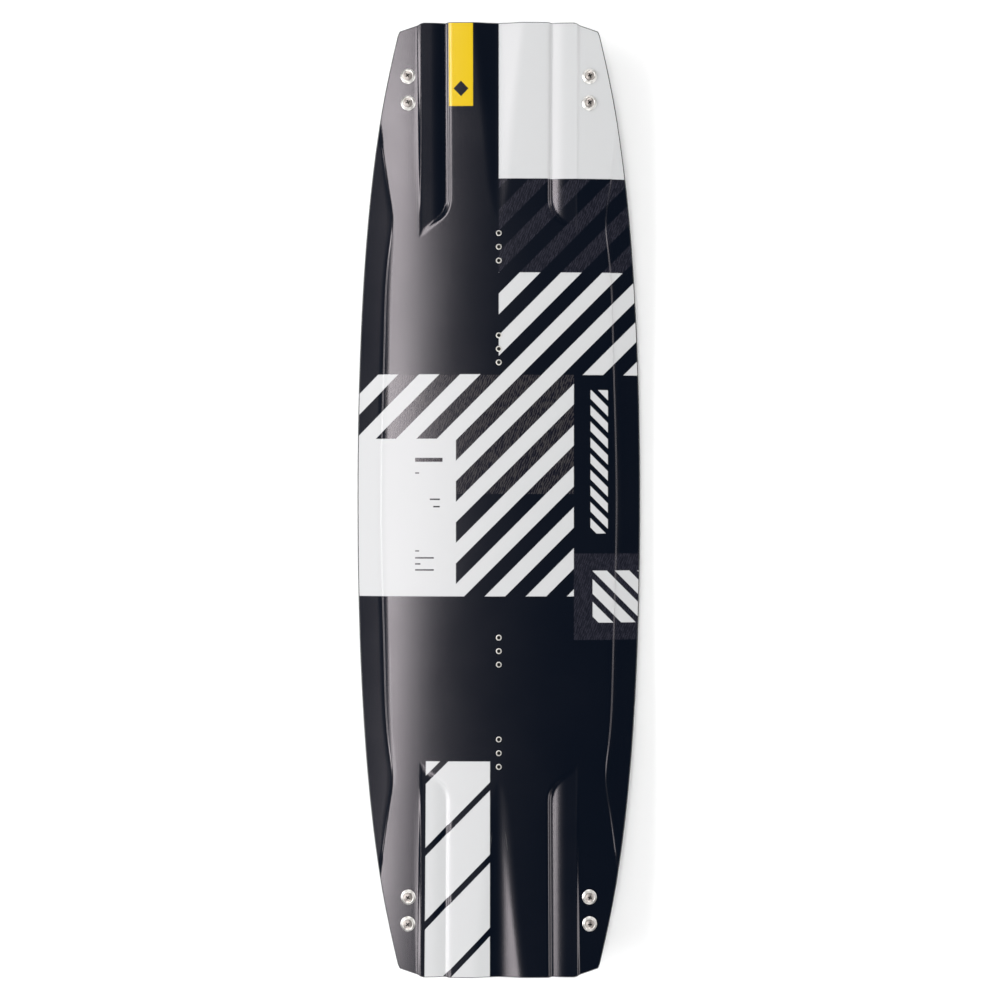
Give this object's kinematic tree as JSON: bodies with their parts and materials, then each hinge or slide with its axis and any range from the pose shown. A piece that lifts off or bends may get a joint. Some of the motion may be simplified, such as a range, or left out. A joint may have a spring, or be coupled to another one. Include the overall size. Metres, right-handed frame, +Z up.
{
  "type": "kiteboard",
  "caption": "Twin-tip kiteboard with rocker, channelled tips, threaded foot-pad inserts and bolted fins.",
  "frame": {"origin": "middle of the board in plan, on the surface that the fins stand on", "axes": "+Y along the board to its front tip, +X to its right edge, +Z up out of the deck"},
  "size_m": [0.4248, 1.39, 0.0707],
  "materials": {
    "top_sheet": "satin gloss printed sheet with white, yellow and dark woven graphics",
    "base_sheet": "gloss sheet",
    "laminate": "carbon and glass cloth in cured epoxy",
    "rail": "planed ABS",
    "core_wood": "bare paulownia, glued in strips",
    "block_wood": "bare beech",
    "block_foam": "high-density plastic block",
    "insert_steel": "turned stainless steel",
    "brass": "turned brass",
    "screw_steel": "stainless steel",
    "washer_steel": "bright pressed stainless steel",
    "fin": "moulded glass-filled plastic"
  },
  "bodies": {
    "root": {"base_sheet": "base_sheet", "core_strip_left_1": "core_wood", "core_strip_left_2": "core_wood", "core_strip_left_3": "core_wood", "core_strip_left_4": "core_wood", "core_strip_middle": "core_wood", "core_strip_right_1": "core_wood", "core_strip_right_2": "core_wood", "core_strip_right_3": "core_wood", "core_strip_right_4": "core_wood", "fin_barrels_front_left": "brass", "fin_barrels_front_right": "brass", "fin_barrels_rear_left": "brass", "fin_barrels_rear_right": "brass", "fin_block_front_left": "block_foam", "fin_block_front_right": "block_foam", "fin_block_rear_left": "block_foam", "fin_block_rear_right": "block_foam", "fin_front_left": "fin", "fin_front_right": "fin", "fin_rear_left": "fin", "fin_rear_right": "fin", "fin_screws_front_left": "screw_steel", "fin_screws_front_right": "screw_steel", "fin_screws_rear_left": "screw_steel", "fin_screws_rear_right": "screw_steel", "fin_washers_front_left": "washer_steel", "fin_washers_front_right": "washer_steel", "fin_washers_rear_left": "washer_steel", "fin_washers_rear_right": "washer_steel", "insert_block_front": "block_wood", "insert_block_rear": "block_wood", "lower_laminate": "laminate", "pad_inserts_front_inner": "insert_steel", "pad_inserts_front_outer": "insert_steel", "pad_inserts_rear_inner": "insert_steel", "pad_inserts_rear_outer": "insert_steel", "rail_left": "rail", "rail_right": "rail", "tip_rail_front": "rail", "tip_rail_rear": "rail", "top_sheet": "top_sheet", "upper_laminate": "laminate"}
  },
  "joints": []
}
